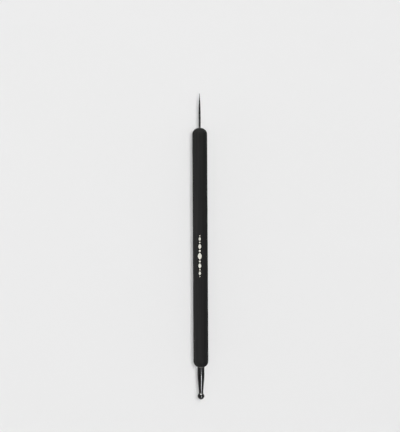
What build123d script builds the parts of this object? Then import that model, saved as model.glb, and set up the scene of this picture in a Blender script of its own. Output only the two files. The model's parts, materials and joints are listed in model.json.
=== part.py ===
from build123d import *
import math
import os

# Double-ended embossing stylus, in millimetres.
# A turned wooden handle holds a steel needle in one end and, in the other, a tapered steel stem
# that carries a ball. The stylus lies on a table at Z = 0, along Y, with its needle towards +Y,
# and the origin is on the table under the middle of its length.

# Handle: a round stick whose two ends are turned nearly to half balls
handle_diameter = 11.3
handle_length = 181.3
handle_end_flat = 1.3  # across the flat that is left in the middle of a rounded end

# Needle: a straight wire, ground to a slim point
needle_diameter = 1.6
needle_reach = 26.2  # from the handle's end to the tip
needle_point_length = 14.2
needle_point_belly = 0.07  # how far the ground side swells past a straight line
needle_tip_radius = 0.12
needle_tang_length = 25.0  # the stretch inside the handle
needle_tang_chamfer = 0.3

# Ball stem: a turned rod, nearly straight to its shoulder and then tapering to a slim straight neck
stem_diameter = 5.3
stem_shoulder_diameter = 5.15
stem_shoulder_reach = 7.0  # from the handle's end
stem_shoulder_blend = 3.6  # how far to each side the shoulder's corner is rounded away
stem_neck_diameter = 3.4
stem_neck_length = 2.2
stem_neck_blend = 0.8
stem_tang_length = 28.0
stem_tang_chamfer = 0.6
cup_land = 0.15  # flat rim between the neck and the cup that seats the ball

# Ball: a standard steel ball
ball_diameter = 5.0
ball_reach = 24.15  # from the handle's end to the far side of the ball

# Joints: glue in the handle's two drilled holes, and a brazed seat for the ball
glue_gap = 0.1  # between the metal and the wall of its hole
glue_pool = 0.5  # under a tang, above the drill's pointed bottom
glue_bead_width = 0.25
glue_bead_height = 0.3
drill_point_angle = 118
braze_film = 0.1
braze_climb = 0.2  # how far the braze runs up the neck, past the cup's rim

cut_overrun = 1.0  # how far a cut starts outside the face that it enters

# Worked out from the sizes above
handle_radius = handle_diameter / 2
needle_radius = needle_diameter / 2
stem_radius = stem_diameter / 2
shoulder_radius = stem_shoulder_diameter / 2
neck_radius = stem_neck_diameter / 2
ball_radius = ball_diameter / 2
cup_radius = ball_radius + braze_film
end_round = handle_radius - handle_end_flat / 2
half_drill_point = math.radians(drill_point_angle / 2)

# Places along the stylus, from the needle's tip down to the ball
needle_tip = (needle_reach + handle_length + ball_reach) / 2
needle_point_start = needle_tip - needle_point_length
needle_end = needle_tip - needle_reach
needle_tang_end = needle_end - needle_tang_length
ball_end = needle_end - handle_length
stem_tang_end = ball_end + stem_tang_length
shoulder = ball_end - stem_shoulder_reach
ball_centre = ball_end - ball_reach + ball_radius
cup_floor = ball_centre + cup_radius
cup_rim = ball_centre + math.sqrt(cup_radius**2 - (neck_radius - cup_land) ** 2)
neck_start = cup_rim + stem_neck_length

# Every piece but the ball is a half section turned about the stylus's own axis.
# In a section, x is the distance from that axis and y is the place along it.
section_plane = Plane.XY.offset(handle_radius)
turning_axis = Axis((0, 0, handle_radius), (0, 1, 0))
towards_needle = 1
towards_ball = -1


def blend_radius(before, corner, after, run):
    """Radius of the arc that rounds a corner away, starting and ending this far from it."""
    turn = (corner - before).get_angle(after - corner)
    return run / math.tan(math.radians(turn / 2))


def fall_of_rounded_end(radius):
    """How far a rounded end has dropped back from the handle's end at this distance from the axis."""
    past_flat = max(radius - handle_end_flat / 2, 0)
    return end_round - math.sqrt(end_round**2 - past_flat**2)


def drilled_hole(end, outward, radius, depth):
    """Half section of a blind hole, from outside the handle's end down to the drill's point."""
    mouth = end + outward * cut_overrun
    floor = end - outward * depth
    point = floor - outward * radius / math.tan(half_drill_point)
    with BuildSketch(section_plane) as hole:
        with BuildLine():
            Polyline((0, mouth), (radius, mouth), (radius, floor), (0, point), close=True)
        make_face()
    return hole.sketch


def glue_room(end, outward, metal_radius, depth):
    """Half section of all that the glue can reach: its hole, and the sloping bead at the mouth.

    It still holds the wood and the metal, which the glue's own piece then cuts away.
    """
    hole_radius = metal_radius + glue_gap
    foot_radius = hole_radius + glue_bead_width
    foot = end - outward * fall_of_rounded_end(foot_radius)
    top = end - outward * (fall_of_rounded_end(hole_radius) - glue_bead_height)
    bottom = end - outward * (depth + hole_radius / math.tan(half_drill_point))
    with BuildSketch(section_plane) as room:
        with BuildLine():
            Polyline(
                (0, top),
                (metal_radius, top),
                (foot_radius, foot),
                (foot_radius, bottom),
                (0, bottom),
                close=True,
            )
        make_face()
    return room.sketch


# Handle, with a hole drilled into each end
with BuildPart() as handle:
    with BuildSketch(section_plane) as handle_section:
        with Locations((0, ball_end)):
            Rectangle(handle_radius, handle_length, align=(Align.MIN, Align.MIN))
        fillet(handle_section.vertices().group_by(Axis.X)[-1], end_round)
        add(
            drilled_hole(
                needle_end, towards_needle, needle_radius + glue_gap, needle_tang_length + glue_pool
            ),
            mode=Mode.SUBTRACT,
        )
        add(
            drilled_hole(ball_end, towards_ball, stem_radius + glue_gap, stem_tang_length + glue_pool),
            mode=Mode.SUBTRACT,
        )
    revolve(axis=turning_axis)

# Needle, from its chamfered tang to the rounded tip
with BuildPart() as needle:
    with BuildSketch(section_plane) as needle_section:
        with BuildLine():
            shank = Polyline(
                (0, needle_tang_end),
                (needle_radius - needle_tang_chamfer, needle_tang_end),
                (needle_radius, needle_tang_end + needle_tang_chamfer),
                (needle_radius, needle_point_start),
            )
            tip = CenterArc((0, needle_tip - needle_tip_radius), needle_tip_radius, 0, 90)
            swell = (shank @ 1 + tip @ 0) / 2 + Vector(needle_point_belly * 2, 0)
            Bezier(shank @ 1, swell, tip @ 0)
            Line(tip @ 1, shank @ 0)
        make_face()
    revolve(axis=turning_axis)

# Ball stem: tang, shank, taper and neck, and the cup that a slightly larger ball leaves in its end
with BuildPart() as ball_stem:
    with BuildSketch(section_plane) as stem_section:
        side = [
            Vector(stem_radius, ball_end),
            Vector(shoulder_radius, shoulder),
            Vector(neck_radius, neck_start),
            Vector(neck_radius, cup_rim),
        ]
        blends = [
            blend_radius(*side[0:3], stem_shoulder_blend),
            blend_radius(*side[1:4], stem_neck_blend),
        ]
        with BuildLine():
            FilletPolyline(*side, radius=blends)
            Polyline(
                side[0],
                (stem_radius, stem_tang_end - stem_tang_chamfer),
                (stem_radius - stem_tang_chamfer, stem_tang_end),
                (0, stem_tang_end),
                (0, cup_rim),
                side[-1],
            )
        make_face()
        with Locations((0, ball_centre)):
            Circle(cup_radius, mode=Mode.SUBTRACT)
    revolve(axis=turning_axis)

# Ball
with BuildPart() as ball:
    with Locations((0, ball_centre, handle_radius)):
        Sphere(ball_radius)

# Braze: a film of even thickness in the cup, ending in a hollow fillet from the neck to the ball.
# The fillet is the one circle that touches both, and its radius follows from how far it climbs.
with BuildPart() as ball_braze:
    with BuildSketch(section_plane):
        climb = cup_rim + braze_climb - ball_centre
        fillet_radius = (neck_radius**2 + climb**2 - ball_radius**2) / (ball_diameter - stem_neck_diameter)
        lean = math.degrees(math.atan2(neck_radius + fillet_radius, climb))
        with BuildLine():
            on_ball = CenterArc((0, ball_centre), ball_radius, 90, -lean)
            on_neck = (neck_radius, cup_rim + braze_climb)
            TangentArc(on_neck, on_ball @ 1, tangent=(0, towards_ball))
            Polyline(on_neck, (neck_radius, cup_floor), (0, cup_floor), on_ball @ 0)
        make_face()
        add(stem_section.sketch, mode=Mode.SUBTRACT)
    revolve(axis=turning_axis)

# Glue around the needle's tang
with BuildPart() as needle_glue:
    with BuildSketch(section_plane):
        add(glue_room(needle_end, towards_needle, needle_radius, needle_tang_length + glue_pool))
        add(handle_section.sketch, mode=Mode.SUBTRACT)
        add(needle_section.sketch, mode=Mode.SUBTRACT)
    revolve(axis=turning_axis)

# Glue around the stem's tang
with BuildPart() as stem_glue:
    with BuildSketch(section_plane):
        add(glue_room(ball_end, towards_ball, stem_radius, stem_tang_length + glue_pool))
        add(handle_section.sketch, mode=Mode.SUBTRACT)
        add(stem_section.sketch, mode=Mode.SUBTRACT)
    revolve(axis=turning_axis)

# Each piece is written to a file that has its name
pieces = {
    "handle": handle,
    "needle": needle,
    "needle_glue": needle_glue,
    "ball_stem": ball_stem,
    "stem_glue": stem_glue,
    "ball": ball,
    "ball_braze": ball_braze,
}
os.makedirs("parts", exist_ok=True)
for name, piece in pieces.items():
    piece.part.label = name
    export_step(piece.part, f"parts/{name}.step")
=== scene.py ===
# %% [markdown]
# # A double-ended embossing stylus
#
# The stylus is a round wooden stick, painted black. A ground steel needle is glued into one end, and a
# polished steel stem with a ball into the other.
#
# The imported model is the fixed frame: it says where each piece is and how large, in metres. Its meshes
# are plain, so this script builds every piece again, as a finer surface of the same outline with its own
# finish.

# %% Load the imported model, and keep its box
import json
import math

import bpy
import numpy as np
from mathutils import Matrix, Vector


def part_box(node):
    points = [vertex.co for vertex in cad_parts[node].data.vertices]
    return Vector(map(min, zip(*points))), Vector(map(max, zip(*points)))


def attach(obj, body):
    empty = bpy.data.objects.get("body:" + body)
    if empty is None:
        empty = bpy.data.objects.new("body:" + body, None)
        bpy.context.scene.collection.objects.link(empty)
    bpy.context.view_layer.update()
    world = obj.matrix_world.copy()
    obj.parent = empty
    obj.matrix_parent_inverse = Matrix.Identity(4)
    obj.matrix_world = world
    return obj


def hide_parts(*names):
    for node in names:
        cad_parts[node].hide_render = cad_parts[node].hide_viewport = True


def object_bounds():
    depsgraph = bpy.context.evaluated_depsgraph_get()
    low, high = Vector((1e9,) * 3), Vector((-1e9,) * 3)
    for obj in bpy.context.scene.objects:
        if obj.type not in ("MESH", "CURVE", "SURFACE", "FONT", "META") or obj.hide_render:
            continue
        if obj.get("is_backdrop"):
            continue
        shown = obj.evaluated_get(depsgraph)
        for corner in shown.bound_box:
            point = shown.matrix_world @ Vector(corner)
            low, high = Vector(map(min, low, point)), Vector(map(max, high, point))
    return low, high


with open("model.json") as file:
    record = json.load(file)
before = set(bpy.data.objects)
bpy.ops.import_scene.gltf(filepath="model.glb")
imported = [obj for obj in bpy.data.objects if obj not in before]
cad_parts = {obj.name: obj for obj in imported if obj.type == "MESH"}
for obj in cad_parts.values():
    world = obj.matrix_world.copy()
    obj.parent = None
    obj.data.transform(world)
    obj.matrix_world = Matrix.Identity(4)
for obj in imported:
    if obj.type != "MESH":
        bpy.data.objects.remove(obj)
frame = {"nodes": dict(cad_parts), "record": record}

packed_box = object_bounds()
print("nodes:", ", ".join(sorted(frame["nodes"])))

# %% [markdown]
# ## Sizes
#
# Every piece but the stamped ornament is turned about one line, the stylus's own axis, which runs along
# Y. So a place on a piece takes two numbers: how far it lies **out** from the axis, and where it lies
# **along** it. Both are read from the frame's boxes and mounts wherever these can tell them, so the
# pieces fit without being moved. Only what they can't tell, such as the width of a neck, is written here
# as a size.
#
# A box needs some care. The handle's box ends at the rims of its drilled holes, short of where the
# rounded ends would meet the axis. So both ends are worked out from the handle's straight part, which is
# a mount: the handle lies on the table, so its radius is the height of the axis, and each end adds the
# rounding to that part. The rounding is the radius less half of the small flat in the end's middle.

# %% Read the main places and widths from the frame
mm = 0.001

mounts = {mount["name"]: mount for mount in frame["record"]["mounts"]}
grip_length = mounts["grip"]["dims"]["length_mm"] * mm
grip_middle = mounts["grip"]["pos_m"][1]
axis_height = mounts["grip"]["pos_m"][2]
ball_centre = mounts["ball_tip"]["pos_m"][1]
ball_radius = mounts["ball_tip"]["dims"]["r_mm"] * mm


def reach(node):
    """Where a node starts and ends along the axis: the low and the high Y of its box."""
    low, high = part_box(node)
    return low.y, high.y


def widest(node):
    """How far a node reaches out from the axis: half the width of its box."""
    low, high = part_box(node)
    return (high.x - low.x) / 2


end_flat = 1.3 * mm
rounding = axis_height - end_flat / 2
half_length = grip_length / 2 + rounding
needle_end = grip_middle + half_length
ball_end = grip_middle - half_length
needle_tang_end, needle_tip = reach("needle")
cup_rim, stem_tang_end = reach("ball_stem")
needle_radius = widest("needle")
stem_radius = widest("ball_stem")
whole_length = needle_tip - (ball_centre - ball_radius)
print(f"stylus {whole_length / mm:.2f} mm long, axis {axis_height / mm:.2f} mm up")

# %% [markdown]
# ## Camera
#
# The photograph looks straight down on the stylus from far away, so there is hardly any perspective. A
# long lens does the same. The picture's height and the size of one of its pixels give the stretch of
# table that the camera has to take in. The stylus leans a little to the left in the picture, and lies
# below its middle.

# %% Put the camera over the stylus
picture_height_px = 432
pixel_size = 0.757 * mm
view_centre = Vector((-0.09 * mm, 22.98 * mm, axis_height))
camera_height = 1.5
lean_to_left = math.radians(0.305)
sensor_size = 36 * mm

seen_height = picture_height_px * pixel_size
camera = bpy.data.objects.new("camera", bpy.data.cameras.new("camera"))
camera.data.sensor_width = sensor_size / mm
camera.data.lens = camera_height * sensor_size / seen_height / mm
camera.location = view_centre + Vector((0, 0, camera_height))
camera.rotation_euler = (0, 0, -lean_to_left)
bpy.context.collection.objects.link(camera)
bpy.context.scene.camera = camera
print(f"{camera.data.lens:.0f} mm lens, {seen_height / mm:.0f} mm of table from top to bottom")

# %% [markdown]
# ## Nodes
#
# Materials, and the light of the world, are small trees of nodes. One helper makes a node, sets its
# properties, and fills its inputs: an input takes a plain value, or the output of another node. A second
# one starts a material. Four more stand for the few things that every finish here is made of: noise of a
# given grain size, a spread between two values, a mix of two colours, and relief of a given depth.


# %% Helpers for trees of nodes
def add_node(tree, kind, inputs=None, **properties):
    """A new node in the tree. An input is named or numbered, and takes a value or another node's output."""
    made = tree.nodes.new(kind)
    for name, value in properties.items():
        setattr(made, name, value)
    for name, value in (inputs or {}).items():
        if isinstance(value, bpy.types.NodeSocket):
            tree.links.new(value, made.inputs[name])
        else:
            made.inputs[name].default_value = value
    return made


def new_finish(name):
    """An empty material: its node tree, its surface shader and its Object coordinates."""
    material = bpy.data.materials.new(name)
    material.use_nodes = True
    tree = material.node_tree
    shader = tree.nodes["Principled BSDF"]
    place = add_node(tree, "ShaderNodeTexCoord").outputs["Object"]
    return material, tree, shader, place


def noise(tree, place, grain_size, detail, roughness=0.5):
    """Noise whose grains are about this large, in metres. Detail counts the finer layers laid over them."""
    inputs = {"Vector": place, "Scale": 1 / grain_size, "Detail": detail, "Roughness": roughness}
    return add_node(tree, "ShaderNodeTexNoise", inputs).outputs["Fac"]


def spread(tree, value, low, high, start=0.0, end=1.0):
    """From low to high, in a soft S, while the value goes from start to end."""
    inputs = {"Value": value, "From Min": start, "From Max": end, "To Min": low, "To Max": high}
    return add_node(tree, "ShaderNodeMapRange", inputs, interpolation_type="SMOOTHSTEP").outputs["Result"]


def mixed_colour(tree, value, low, high, start, end):
    """One colour up to the start value, the other from the end value, and a blend between them."""
    ramp = add_node(tree, "ShaderNodeValToRGB", {"Fac": value})
    for element, position, colour in zip(ramp.color_ramp.elements, (start, end), (low, high)):
        element.position = position
        element.color = (*colour, 1)
    return ramp.outputs["Color"]


def relief(tree, height, depth, under=None):
    """A bent normal for a pattern of this depth, laid over the relief under it if there is one."""
    inputs = {"Height": height, "Distance": depth}
    if under:
        inputs["Normal"] = under
    return add_node(tree, "ShaderNodeBump", inputs).outputs["Normal"]


# %% [markdown]
# ## Floor and surroundings
#
# The stylus lies on a plain pale floor with no gloss, which catches its shadow. The room is pale round
# the horizon and dim overhead. Polished steel shows the room it stands in, and a dim ceiling is what
# makes the stem look dark beside the bright line of the lamp. An evenly pale room would light the wood as
# well, but wash the steel out. The floor is only as large as the lamps light evenly, and beyond it the
# horizon takes over.

# %% Make the floor and the room
floor_size = 3.0
fully_matte = 1.0
no_gloss = 0.0
floor_grey = 0.905
horizon_grey = 0.82
ceiling_grey = 0.18
horizon_top = 0.10
ceiling_start = 0.30

floor_mesh = bpy.data.meshes.new("floor")
corners = floor_size / 2 * np.array([[-1, -1, 0], [1, -1, 0], [1, 1, 0], [-1, 1, 0]])
floor_mesh.from_pydata(corners, [], [(0, 1, 2, 3)])
floor = bpy.data.objects.new("floor", floor_mesh)
bpy.context.collection.objects.link(floor)
floor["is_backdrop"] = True

floor_finish, tree, shader, place = new_finish("pale_floor")
shader.inputs["Base Color"].default_value = (floor_grey, floor_grey, floor_grey, 1)
shader.inputs["Roughness"].default_value = fully_matte
shader.inputs["Specular IOR Level"].default_value = no_gloss
floor_mesh.materials.append(floor_finish)

room = bpy.data.worlds.new("room")
room.use_nodes = True
bpy.context.scene.world = room
tree = room.node_tree
direction = add_node(tree, "ShaderNodeTexCoord").outputs["Generated"]
height = add_node(tree, "ShaderNodeSeparateXYZ", {0: direction}).outputs["Z"]
room_grey = spread(tree, height, horizon_grey, ceiling_grey, horizon_top, ceiling_start)
tree.links.new(room_grey, tree.nodes["Background"].inputs["Color"])
bpy.context.scene.view_settings.view_transform = "Standard"
print(f"room grey from {horizon_grey} at the horizon to {ceiling_grey} overhead")

# %% [markdown]
# ## Lamps
#
# A rectangular area lamp stands for a softbox: the larger it looks from the stylus, the softer its shadow
# and the broader its reflection. Each is given by where it hangs and how large it looks, both as angles
# seen from the stylus, and by how bright its face is. The face's power then follows from its area. Its
# distance only changes how evenly it lights the floor further off.
#
# The key lamp hangs on the right, a little towards the needle, so its soft shadow falls to the left and a
# little towards the ball. The fill lamp stands for the daylight that comes from all of the left side: it
# lights the wood there, but casts no shadow. Cycles finds a lamp in two ways, and only one of them leaves
# the shadow out, so the other, multiple importance sampling, is turned off for it.
#
# Neither lamp is seen in the steel. It mirrors three cards instead, which light no matte surface: one on
# the right, a little towards the ball, is the bright line along the tapering stem, and a small one towards
# each tip puts a glint on the ball.


# %% Hang the lamps
def softbox(name, to_right, to_needle, width, length, brightness, distance=3.0):
    """A rectangular lamp over the stylus that faces it.

    It leans from straight overhead by the first two angles, and looks as wide and as long as the next two,
    in degrees. The power is brightness times area times pi, because a flat lamp shines to one side only.
    """
    tilt = Vector((math.tan(math.radians(to_right)), math.tan(math.radians(to_needle)), 1)).normalized()
    across = Vector((0, 1, 0)).cross(tilt).normalized()
    turned_to_stylus = Matrix((across, tilt.cross(across), tilt)).transposed()
    lamp = bpy.data.lights.new(name, "AREA")
    lamp.shape = "RECTANGLE"
    lamp.size = 2 * distance * math.tan(math.radians(width / 2))
    lamp.size_y = 2 * distance * math.tan(math.radians(length / 2))
    lamp.energy = brightness * lamp.size * lamp.size_y * math.pi
    holder = bpy.data.objects.new(name, lamp)
    holder.matrix_world = Matrix.Translation(tilt * distance) @ turned_to_stylus.to_4x4()
    bpy.context.collection.objects.link(holder)
    print(f"{name}: {lamp.energy:.0f} W, {lamp.size:.2f} by {lamp.size_y:.2f} m")
    return holder


key_lamp = softbox("key_lamp", to_right=15.5, to_needle=9, width=11, length=13.5, brightness=26)
key_lamp.visible_glossy = False
fill_lamp = softbox(
    "fill_lamp", to_right=-58, to_needle=0, width=50, length=50, brightness=3.2, distance=6.0
)
fill_lamp.data.use_shadow = False
fill_lamp.data.cycles.use_multiple_importance_sampling = False
fill_lamp.visible_glossy = False
stem_card = softbox("stem_card", to_right=15.5, to_needle=-13.5, width=11, length=13.5, brightness=26)
needle_card = softbox("needle_side_card", to_right=-5, to_needle=57, width=16, length=16, brightness=75)
ball_card = softbox("ball_side_card", to_right=14, to_needle=-57, width=16, length=16, brightness=14)
for card in (stem_card, needle_card, ball_card):
    card.visible_diffuse = False

# %% [markdown]
# ## Turned pieces
#
# Most of this stylus is turned on a lathe, and the rest is just as round. So this script works as a lathe
# does: it carries an outline once round the axis. Blender's Screw and Spin tools could do that too.
# Working the rings out as whole arrays keeps the seam and the two poles closed, and points every face
# outwards by its order alone. The marks of the ornament are closed in the same way later.
#
# An outline is a list of (out, along) points that starts and ends on the axis and keeps the solid on its
# left. It is put together from straight stretches, arcs and curves. Each stretch says how many points, or
# rows, it has: many where it is long or bends in sight, and few where it is short or hidden.


# %% Helpers for outlines
def straight(start, end, rows=2):
    """Points on a line: the start, plus a growing share of the way to the end."""
    share = np.linspace(0, 1, rows)[:, None]
    return np.array(start) + share * (np.array(end) - np.array(start))


def arc(centre, radius, first, last, rows):
    """Points on a circle: its centre, plus the radius times the cosine and the sine of a growing angle.

    The angle is in degrees. It is 0 straight out from the axis, and 90 along it, towards the needle.
    """
    angle = np.radians(np.linspace(first, last, rows))[:, None]
    return np.array(centre) + radius * np.hstack([np.cos(angle), np.sin(angle)])


def joined(*stretches):
    """One outline from several stretches. Where two of them share a point, it is kept once."""
    same_place = 0.0001 * mm
    points = np.vstack(stretches)
    moved = np.linalg.norm(np.diff(points, axis=0), axis=1) > same_place
    return points[np.append(True, moved)]


# %% Helpers that make a mesh from rings of points
sharp_corner = math.radians(35)


def closed_skin(name, rings, first_poles, last_poles):
    """A closed mesh of one or more parts, from rings of points and a pole at both ends of each part.

    Point j of ring i makes a square with (i + 1, j), (i + 1, j + 1) and (i, j + 1), and the last point of a
    ring is followed by its first one. Triangles join each pole to the ring beside it.
    """
    parts, rows, spokes, _ = rings.shape
    points = np.concatenate([first_poles[:, None], rings.reshape(parts, -1, 3), last_poles[:, None]], axis=1)
    here = np.arange(spokes)
    after = np.roll(here, -1)
    ring = 1 + spokes * np.arange(rows - 1)[:, None]
    squares = np.stack([ring + here, ring + spokes + here, ring + spokes + after, ring + after], axis=-1)
    last_ring = 1 + spokes * (rows - 1)
    first_fan = np.stack([np.zeros_like(here), 1 + here, 1 + after], axis=-1)
    last_pole = np.full_like(here, last_ring + spokes)
    last_fan = np.stack([last_ring + here, last_pole, last_ring + after], axis=-1)
    part_start = points.shape[1] * np.arange(parts)[:, None, None]
    squares = (squares.reshape(-1, 4) + part_start).reshape(-1, 4)
    fans = (np.vstack([first_fan, last_fan]) + part_start).reshape(-1, 3)

    mesh = bpy.data.meshes.new(name)
    mesh.from_pydata(points.reshape(-1, 3), [], squares.tolist() + fans.tolist())
    mesh.shade_smooth()
    mesh.set_sharp_from_angle(angle=sharp_corner)
    piece = bpy.data.objects.new(name, mesh)
    bpy.context.collection.objects.link(piece)
    return piece


def turned(name, outline, spokes):
    """A turned piece: each point of the outline goes once round the axis.

    x is out times the cosine of the turn, z is the axis's height plus out times its sine, and y is along.
    """
    turn = np.linspace(0, 2 * np.pi, spokes, endpoint=False)
    out, along = outline[1:-1].T
    x = np.outer(out, np.cos(turn))
    y = np.outer(along, np.ones(spokes))
    z = axis_height + np.outer(out, np.sin(turn))
    poles = np.array([[0, outline[0, 1], axis_height], [0, outline[-1, 1], axis_height]])
    return closed_skin(name, np.stack([x, y, z], axis=-1)[None], poles[:1], poles[1:])


def volume(piece):
    """A closed mesh's volume: a sixth of the triple product of each triangle's corners, added up."""
    mesh = piece.data
    mesh.calc_loop_triangles()
    corners = np.zeros(3 * len(mesh.vertices))
    mesh.vertices.foreach_get("co", corners)
    triangles = np.zeros(3 * len(mesh.loop_triangles), dtype=int)
    mesh.loop_triangles.foreach_get("vertices", triangles)
    a, b, c = corners.reshape(-1, 3)[triangles.reshape(-1, 3)].transpose(1, 0, 2)
    return np.einsum("ij,ij->i", a, np.cross(b, c)).sum() / 6


def seat(piece, node, finish):
    """The piece gets its finish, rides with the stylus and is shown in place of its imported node."""
    piece.data.materials.append(finish)
    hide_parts(node)
    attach(piece, "root")
    print(f"{piece.name}: {len(piece.data.loop_triangles)} triangles, {volume(piece) / mm**3:.1f} mm3")


# %% [markdown]
# ## Handle
#
# The handle is a turned stick whose ends are rounded nearly to half balls. A hole is drilled into each
# end for the metal, down to the cone that a drill's point leaves. One outline holds all of it: from the
# bottom of one hole, out over the rounded end, along the side and down into the other hole. The side gets
# many rows, so that the light runs evenly along it.
#
# The frame's handle is a stick with flat facets, a hair slimmer in height than in width. The finer one
# takes the smaller size, less the thickness of the ink that is stamped on it, and so stays inside the
# frame's box.

# %% Sizes of the handle and its holes
handle_low, handle_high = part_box("handle")
ink_thickness = 0.012 * mm
handle_radius = (handle_high.z - handle_low.z) / 2 - ink_thickness
end_round = handle_radius - end_flat / 2
glue_gap = 0.1 * mm
glue_pool = 0.5 * mm
drill_point_angle = 118  # degrees, as a common drill is ground


def fall(out):
    """How far the rounded end has dropped at this distance out: the radius, less the arc's height there."""
    return end_round - math.sqrt(end_round**2 - max(out - end_flat / 2, 0) ** 2)


def hole_floor(metal_radius):
    """How far the cone of a drilled hole reaches past the hole's wall: its radius over the cone's slope."""
    return (metal_radius + glue_gap) / math.tan(math.radians(drill_point_angle / 2))


print(f"handle {2 * handle_radius / mm:.2f} mm thick, {(needle_end - ball_end) / mm:.1f} mm long")

# %% Turn the handle
arc_rows = 40
side_rows = 90
wall_rows = 12
cone_rows = 6
handle_spokes = 160


def rounded_end(hole_radius):
    """The arc of an end from the hole's mouth to the side, for an end that points up from zero."""
    first = math.degrees(math.acos((hole_radius - end_flat / 2) / end_round))
    return arc((end_flat / 2, -end_round), end_round, first, 0, arc_rows)


def drilled_end(metal_radius, tang_length):
    """A drilled and rounded end that points up from zero: the hole's floor, its wall, then the end's arc."""
    hole_radius = metal_radius + glue_gap
    floor_at = -tang_length - glue_pool
    bottom = (0, floor_at - hole_floor(metal_radius))
    wall = straight((hole_radius, floor_at), (hole_radius, -fall(hole_radius)), wall_rows)
    return joined(straight(bottom, wall[0], cone_rows), wall, rounded_end(hole_radius))


up_end = drilled_end(needle_radius, needle_end - needle_tang_end) + (0, needle_end)
down_end = drilled_end(stem_radius, stem_tang_end - ball_end) * (1, -1) + (0, ball_end)
side = straight(down_end[-1], up_end[-1], side_rows)
handle_outline = joined(down_end, side, up_end[::-1])
handle = turned("painted_handle", handle_outline, handle_spokes)

# %% [markdown]
# ## Painted wood
#
# Thin matte paint follows the wood under it. Wood is a solid stuff, so its pattern is best worked out in
# space and not drawn on the surface: growth rings round a pith line outside the stick, and pores
# stretched along the grain. On the stick's side both then show as faint long streaks, and on its rounded
# ends the same pores show as dots, as they do on a real stick. Noise in Object coordinates, squeezed
# along Y, does this.


# %% Mix the painted wood
def painted_wood():
    """Matte black paint: faint growth rings, pores and grit in its height, and uneven colour and gloss."""
    material, tree, shader, place = new_finish("painted_wood")
    ring_spacing, ring_depth, ring_stretch = 3.4 * mm, 0.010 * mm, 1 / 33
    pore_size, pore_depth, pore_stretch = 0.16 * mm, 0.014 * mm, 1 / 50
    grit_size, grit_depth = 0.09 * mm, 0.003 * mm
    patch_size = 1.1 * mm
    from_pith = Vector((9 * mm, 0, 4 * mm))
    waves_in_one_unit = 20 / (2 * math.pi)
    smooth_paint, rough_paint, paint_gloss = 0.62, 0.86, 0.08
    deep_black, worn_black = (0.0130, 0.0130, 0.0134), (0.0198, 0.0195, 0.0191)

    tree_place = add_node(
        tree, "ShaderNodeMapping", {"Vector": place, "Location": from_pith, "Scale": (1, ring_stretch, 1)}
    )
    rings = add_node(
        tree,
        "ShaderNodeTexWave",
        {
            "Vector": tree_place.outputs["Vector"],
            "Scale": 1 / (ring_spacing * waves_in_one_unit),
            "Distortion": 5.0,
            "Detail": 3.0,
            "Detail Scale": 0.35,
        },
        wave_type="RINGS",
        rings_direction="Y",
    )
    along_grain = add_node(tree, "ShaderNodeMapping", {"Vector": place, "Scale": (1, pore_stretch, 1)})
    fibres = along_grain.outputs["Vector"]
    pores = noise(tree, fibres, pore_size, detail=4, roughness=0.6)
    grit = noise(tree, place, grit_size, detail=2)
    patches = noise(tree, fibres, patch_size, detail=3)

    colour = mixed_colour(tree, patches, deep_black, worn_black, start=0.3, end=0.7)
    normal = relief(tree, rings.outputs["Fac"], ring_depth)
    normal = relief(tree, pores, pore_depth, normal)
    normal = relief(tree, grit, grit_depth, normal)
    tree.links.new(colour, shader.inputs["Base Color"])
    tree.links.new(spread(tree, pores, smooth_paint, rough_paint), shader.inputs["Roughness"])
    tree.links.new(normal, shader.inputs["Normal"])
    shader.inputs["Specular IOR Level"].default_value = paint_gloss
    return material


seat(handle, "handle", painted_wood())

# %% [markdown]
# ## Needle
#
# The needle is a straight steel wire. Its tang sits in the handle, its shank stands out, and its last
# stretch is ground to a slim point. A grinding wheel leaves the point's side swelling a little past a
# straight line, so that side is a bowed line with its middle pulled out, and the tip itself is a tiny half
# ball.

# %% Turn the needle
needle_point_length = 14.2 * mm
needle_point_belly = 0.07 * mm
needle_tip_radius = 0.12 * mm
needle_tang_chamfer = 0.3 * mm
needle_point_start = needle_tip - needle_point_length
shank_rows = 30
point_rows = 60
tip_rows = 8
needle_spokes = 64


def bowed(start, middle, end, rows):
    """A line pulled towards its middle: (1 - t) squared starts, 2 t (1 - t) middles and t squared ends."""
    t = np.linspace(0, 1, rows)[:, None]
    return (1 - t) ** 2 * np.array(start) + 2 * t * (1 - t) * np.array(middle) + t**2 * np.array(end)


shank_end = np.array([needle_radius, needle_point_start])
tip_side = np.array([needle_tip_radius, needle_tip - needle_tip_radius])
swell = (shank_end + tip_side) / 2 + (2 * needle_point_belly, 0)
needle_outline = joined(
    straight((0, needle_tang_end), (needle_radius - needle_tang_chamfer, needle_tang_end)),
    straight((needle_radius, needle_tang_end + needle_tang_chamfer), shank_end, shank_rows),
    bowed(shank_end, swell, tip_side, point_rows),
    arc((0, tip_side[1]), needle_tip_radius, 0, 90, tip_rows),
)
needle = turned("ground_needle", needle_outline, needle_spokes)

# %% [markdown]
# ## Worked steel
#
# Turning, grinding and polishing all leave fine marks that run round a piece. Noise of one number does
# that: it is fed with the place along the axis only, so each mark is a full ring. The marks are far finer
# than a pixel, but they spread the lamps' reflections lengthwise, which is what tells worked steel from
# chrome. Wider noise in space makes the gloss uneven, as wiping and handling do. Bare metal turns pale at
# a grazing angle, where it would mirror the floor along both sides, so its specular tint is kept dark
# there.


# %% Mix the steels
dark_edge = (0.06, 0.06, 0.06)


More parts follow.
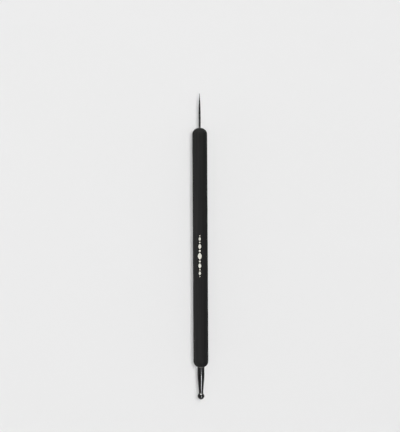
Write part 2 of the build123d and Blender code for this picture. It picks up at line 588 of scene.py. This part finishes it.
def worked_steel(name, colour, gloss_between, mark_width, mark_depth):
    """Polished steel with marks that run round the piece, and gloss that varies between two roughnesses."""
    material, tree, shader, place = new_finish(name)
    smear_size = 1.3 * mm
    along = add_node(tree, "ShaderNodeSeparateXYZ", {0: place}).outputs["Y"]
    marks = add_node(
        tree,
        "ShaderNodeTexNoise",
        {"W": along, "Scale": 1 / mark_width, "Detail": 3.0, "Roughness": 0.6},
        noise_dimensions="1D",
    )
    gloss = spread(tree, noise(tree, place, smear_size, detail=4), *gloss_between)
    shader.inputs["Metallic"].default_value = 1.0
    shader.inputs["Base Color"].default_value = (*colour, 1)
    shader.inputs["Specular Tint"].default_value = (*dark_edge, 1)
    tree.links.new(gloss, shader.inputs["Roughness"])
    tree.links.new(relief(tree, marks.outputs["Fac"], mark_depth), shader.inputs["Normal"])
    return material


wire_grey = (0.070, 0.070, 0.072)
stem_grey = (0.054, 0.054, 0.056)
ball_grey = (0.062, 0.062, 0.064)
braze_grey = (0.10, 0.098, 0.092)

needle_steel = worked_steel(
    "needle_steel", wire_grey, gloss_between=(0.20, 0.38), mark_width=0.07 * mm, mark_depth=0.0005 * mm
)
stem_steel = worked_steel(
    "stem_steel", stem_grey, gloss_between=(0.08, 0.14), mark_width=0.12 * mm, mark_depth=0.0003 * mm
)
ball_steel = worked_steel(
    "ball_steel", ball_grey, gloss_between=(0.05, 0.12), mark_width=0.30 * mm, mark_depth=0.0001 * mm
)
braze_metal = worked_steel(
    "braze_metal", braze_grey, gloss_between=(0.16, 0.30), mark_width=0.40 * mm, mark_depth=0.0010 * mm
)
seat(needle, "needle", needle_steel)

# %% [markdown]
# ## Ball stem
#
# The stem is turned from rod. It leaves the handle nearly straight, and from its shoulder it tapers to a
# slim neck. No corner is left on it: an arc rounds the shoulder, and a smaller one leads into the neck.
# The end of the neck is hollowed to a cup, a little larger than the ball, where the ball is brazed in.

# %% Sizes of the stem and its cup
stem_shoulder_radius = 5.15 / 2 * mm
stem_shoulder_reach = 7.0 * mm
stem_shoulder_blend = 3.6 * mm
neck_radius = 3.4 / 2 * mm
neck_length = 2.2 * mm
neck_blend = 0.8 * mm
stem_tang_chamfer = 0.6 * mm
cup_land = 0.15 * mm
braze_film = 0.1 * mm
cup_radius = ball_radius + braze_film
cup_rows = 16
neck_rows = 8
neck_blend_rows = 12
shoulder_rows = 40
stem_spokes = 128


def blended(before, corner, after, run, rows):
    """The arc that rounds a corner away, starting and ending this far from it on its two sides.

    Its radius is the run over the tangent of half the turn, and its centre lies square off the first side.
    """
    before, corner, after = np.array(before), np.array(corner), np.array(after)
    side_in = (corner - before) / np.linalg.norm(corner - before)
    side_out = (after - corner) / np.linalg.norm(after - corner)
    turn = math.atan2(side_in[0] * side_out[1] - side_in[1] * side_out[0], side_in @ side_out)
    radius = run / math.tan(turn / 2)
    square_off = np.array([-side_in[1], side_in[0]])
    centre = corner - run * side_in + radius * square_off
    first = math.degrees(math.atan2(-square_off[1], -square_off[0]))
    if turn < 0:
        first += 180
    return arc(centre, abs(radius), first, first + math.degrees(turn), rows)


# %% Turn the stem
shank = (stem_radius, ball_end)
shoulder = (stem_shoulder_radius, ball_end - stem_shoulder_reach)
neck = (neck_radius, cup_rim + neck_length)
rim = (neck_radius, cup_rim)
cup_edge = math.degrees(math.acos((neck_radius - cup_land) / cup_radius))
stem_outline = joined(
    arc((0, ball_centre), cup_radius, 90, cup_edge, cup_rows),
    straight(rim, (neck_radius, cup_rim + neck_length - neck_blend), neck_rows),
    blended(rim, neck, shoulder, neck_blend, neck_blend_rows),
    blended(neck, shoulder, shank, stem_shoulder_blend, shoulder_rows),
    straight(shank, (stem_radius, stem_tang_end - stem_tang_chamfer), wall_rows),
    straight((stem_radius - stem_tang_chamfer, stem_tang_end), (0, stem_tang_end)),
)
stem = turned("turned_stem", stem_outline, stem_spokes)

# %% [markdown]
# ## Dull root of the stem
#
# The polish fades towards the handle. The wheel can't reach into the corner there, and the glue that was
# wiped off leaves the steel a little dull. So roughness grows along the last few millimetres, on top of
# what the steel's own gloss gives.

# %% Dull the stem's root, and seat it
dull_start = ball_end - 8.0 * mm
dull_end = ball_end - 2.0 * mm
extra_roughness = 0.30

tree = stem_steel.node_tree
roughness = tree.nodes["Principled BSDF"].inputs["Roughness"]
place = add_node(tree, "ShaderNodeTexCoord").outputs["Object"]
along = add_node(tree, "ShaderNodeSeparateXYZ", {0: place}).outputs["Y"]
dullness = spread(tree, along, 0, extra_roughness, dull_start, dull_end)
inputs = {0: roughness.links[0].from_socket, 1: dullness}
dulled = add_node(tree, "ShaderNodeMath", inputs, operation="ADD")
tree.links.new(dulled.outputs[0], roughness)
seat(stem, "ball_stem", stem_steel)

# %% [markdown]
# ## Ball
#
# The ball is a bearing ball, the truest and smoothest piece here. Its outline is a half circle. Turned
# about the same axis as the rest it has its poles in the cup and at its far end.

# %% Turn the ball
ball_rows = 72
ball_spokes = 96
ball = turned("steel_ball", arc((0, ball_centre), ball_radius, -90, 90, ball_rows), ball_spokes)
seat(ball, "ball", ball_steel)

# %% [markdown]
# ## Braze
#
# Molten braze wets both the neck and the ball, and its surface pulls into the one hollow arc that meets
# both without a corner. The circle of that arc touches the neck's side and the ball, so its radius
# follows from how far the braze climbs. The rest is the thin film in the cup.

# %% Run the braze into its fillet
braze_climb = 0.2 * mm
fillet_rows = 24
climb = cup_rim + braze_climb - ball_centre
fillet_radius = (neck_radius**2 + climb**2 - ball_radius**2) / (2 * (ball_radius - neck_radius))
fillet_centre = (neck_radius + fillet_radius, ball_centre + climb)
touch = math.degrees(math.atan2(climb, neck_radius + fillet_radius))
braze_outline = joined(
    arc((0, ball_centre), ball_radius, 90, touch, fillet_rows),
    arc(fillet_centre, fillet_radius, 180 + touch, 180, fillet_rows),
    straight(rim, (neck_radius - cup_land, cup_rim)),
    arc((0, ball_centre), cup_radius, cup_edge, 90, cup_rows),
)
braze = turned("braze_fillet", braze_outline, stem_spokes)
print(f"fillet radius {fillet_radius / mm:.2f} mm")

seat(braze, "ball_braze", braze_metal)

# %% [markdown]
# ## Glue
#
# Both tangs are glued. The glue fills the narrow gap round the metal and the drill's cone under it, and a
# little of it is squeezed out as a bead at the mouth of the hole. Wet glue climbs the metal and the wood,
# so the bead's face is hollow, and a bowed line whose middle is pulled into the corner draws it. A real
# bead is never quite even, and its slight ripples are left to the finish.

# %% Cast the glue
bead_width = 0.25 * mm
bead_height = 0.3 * mm
bead_rows = 16
needle_glue_spokes = 96


def glue_outline(metal_radius, tang_length, chamfer):
    """Glue round a tang, for an end that points up from zero: the hole's shape, the bead, the metal's."""
    hole_radius = metal_radius + glue_gap
    foot = (hole_radius + bead_width, -fall(hole_radius + bead_width))
    top = (metal_radius, bead_height - fall(hole_radius))
    hollow = (metal_radius + glue_gap / 2, foot[1] + glue_gap / 2)
    floor_at = -tang_length - glue_pool
    return joined(
        straight((0, floor_at - hole_floor(metal_radius)), (hole_radius, floor_at), cone_rows),
        straight((hole_radius, floor_at), (hole_radius, -fall(hole_radius)), wall_rows),
        bowed(foot, hollow, top, bead_rows),
        straight(top, (metal_radius, -tang_length + chamfer), wall_rows),
        straight((metal_radius - chamfer, -tang_length), (0, -tang_length)),
    )


needle_glue_up = glue_outline(needle_radius, needle_end - needle_tang_end, needle_tang_chamfer)
stem_glue_up = glue_outline(stem_radius, stem_tang_end - ball_end, stem_tang_chamfer)
stem_glue_down = (stem_glue_up * (1, -1))[::-1]
needle_glue = turned("needle_glue_bead", needle_glue_up + (0, needle_end), needle_glue_spokes)
stem_glue = turned("stem_glue_bead", stem_glue_down + (0, ball_end), stem_spokes)


# %% Mix the clear glue, and seat both
def clear_glue():
    """Cured glue: clear, a little cloudy, and glossy, with slight unevenness in its surface."""
    material, tree, shader, place = new_finish("clear_glue")
    ripple_size, ripple_depth = 0.8 * mm, 0.02 * mm
    smooth_glue, rough_glue = 0.1, 0.3
    cloudy_cream = (0.42, 0.41, 0.38)
    clear_share, glue_ior = 0.55, 1.48
    ripples = noise(tree, place, ripple_size, detail=2)
    shader.inputs["Base Color"].default_value = (*cloudy_cream, 1)
    shader.inputs["Transmission Weight"].default_value = clear_share
    shader.inputs["IOR"].default_value = glue_ior
    tree.links.new(spread(tree, ripples, smooth_glue, rough_glue), shader.inputs["Roughness"])
    tree.links.new(relief(tree, ripples, ripple_depth), shader.inputs["Normal"])
    return material


glue_finish = clear_glue()
seat(needle_glue, "needle_glue", glue_finish)
seat(stem_glue, "stem_glue", glue_finish)

# %% [markdown]
# ## Stamped ornament
#
# A plain ornament in pale ink is stamped on the handle's middle: lozenges and dots by turns, which grow
# smaller both ways from the largest lozenge. Each mark is a thin pad of ink that is bent round the
# handle. One formula draws them all: it goes round a circle, and a power of its sine makes the mark
# round, or pointed at both ends. The pad is flat in its middle and falls to nothing at its edge, and its
# underside lies just inside the paint, so that no gap can show.

# %% Lay out the ornament
ornament_centre = -7.3 * mm
ornament_side = -0.4 * mm
lozenge_length = 5.4 * mm
lozenge_width = 2.9 * mm
dot_width = 1.7 * mm
mark_gap = 0.55 * mm
marks_each_way = 5
shrink_share = 0.86
lozenge_power = 1.8
dot_power = 1.0

step = np.arange(marks_each_way + 1)
is_lozenge = step % 2 == 0
half_long = np.where(is_lozenge, lozenge_length, dot_width) / 2 * shrink_share**step
half_wide = np.where(is_lozenge, lozenge_width, dot_width) / 2 * shrink_share**step
power = np.where(is_lozenge, lozenge_power, dot_power)
from_middle = np.append(0, np.cumsum(half_long[:-1] + mark_gap + half_long[1:]))
both_ways = np.concatenate([step[:0:-1], step])
mark_side = np.concatenate([-np.ones(marks_each_way), np.ones(marks_each_way + 1)])
mark_along = ornament_centre + mark_side * from_middle[both_ways]
print(f"{len(mark_along)} marks over {(np.ptp(mark_along) + 2 * half_long[-1]) / mm:.1f} mm")

# %% Stamp it on the handle
mark_spokes = 48
mark_rows = 6
pad_flatness = 8


def bent_round_handle(across, along, height):
    """A flat place laid on the handle: the angle is across over the radius, counted from the top."""
    radius = handle_radius + height
    angle = across / handle_radius
    x = radius * np.sin(angle)
    z = axis_height + radius * np.cos(angle)
    return np.stack(np.broadcast_arrays(x, along, z), axis=-1)


turn = np.linspace(0, 2 * np.pi, mark_spokes, endpoint=False)
share = np.linspace(1 / mark_rows, 1, mark_rows)
bulge = np.abs(np.sin(turn)) ** power[both_ways, None]
edge_along = half_long[both_ways, None] * np.cos(turn)
edge_across = half_wide[both_ways, None] * np.sign(np.sin(turn)) * bulge
ring_share = np.append(share, share[::-1])[None, :, None]
pad_height = np.sqrt(1 - share[::-1] ** pad_flatness)
ring_height = np.append(-np.ones(mark_rows), pad_height)[None, :, None]
rings = bent_round_handle(
    ornament_side + ring_share * edge_across[:, None, :],
    mark_along[:, None, None] + ring_share * edge_along[:, None, :],
    ink_thickness * ring_height,
)
bottom_poles = bent_round_handle(ornament_side, mark_along, -ink_thickness)
top_poles = bent_round_handle(ornament_side, mark_along, ink_thickness)
ornament = closed_skin("stamped_ornament", rings, bottom_poles, top_poles)


# %% Mix the ink
def pale_ink():
    """Ivory ink that lies on the paint, a little thin and worn where the noise is low."""
    material, tree, shader, place = new_finish("pale_ink")
    wear_size = 0.35 * mm
    thin_ink, full_ink = (0.35, 0.34, 0.30), (0.80, 0.79, 0.71)
    half_gloss = 0.5
    wear = noise(tree, place, wear_size, detail=5)
    colour = mixed_colour(tree, wear, thin_ink, full_ink, start=0.32, end=0.48)
    tree.links.new(colour, shader.inputs["Base Color"])
    shader.inputs["Roughness"].default_value = half_gloss
    return material


ornament.data.materials.append(pale_ink())
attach(ornament, "root")
print(f"ornament: {volume(ornament) / mm**3:.3f} mm3 of ink")

# %% [markdown]
# ## Boxes at the end
#
# The finished pieces must not reach past the frame's box, so both boxes are printed side by side.

# %% Print both boxes
finished_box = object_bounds()
boxes = {
    "cad": [list(corner) for corner in packed_box],
    "visual": [list(corner) for corner in finished_box],
}
for name, (low, high) in boxes.items():
    print(name, "box in mm:", np.round(np.array([low, high]) / mm, 3).tolist())
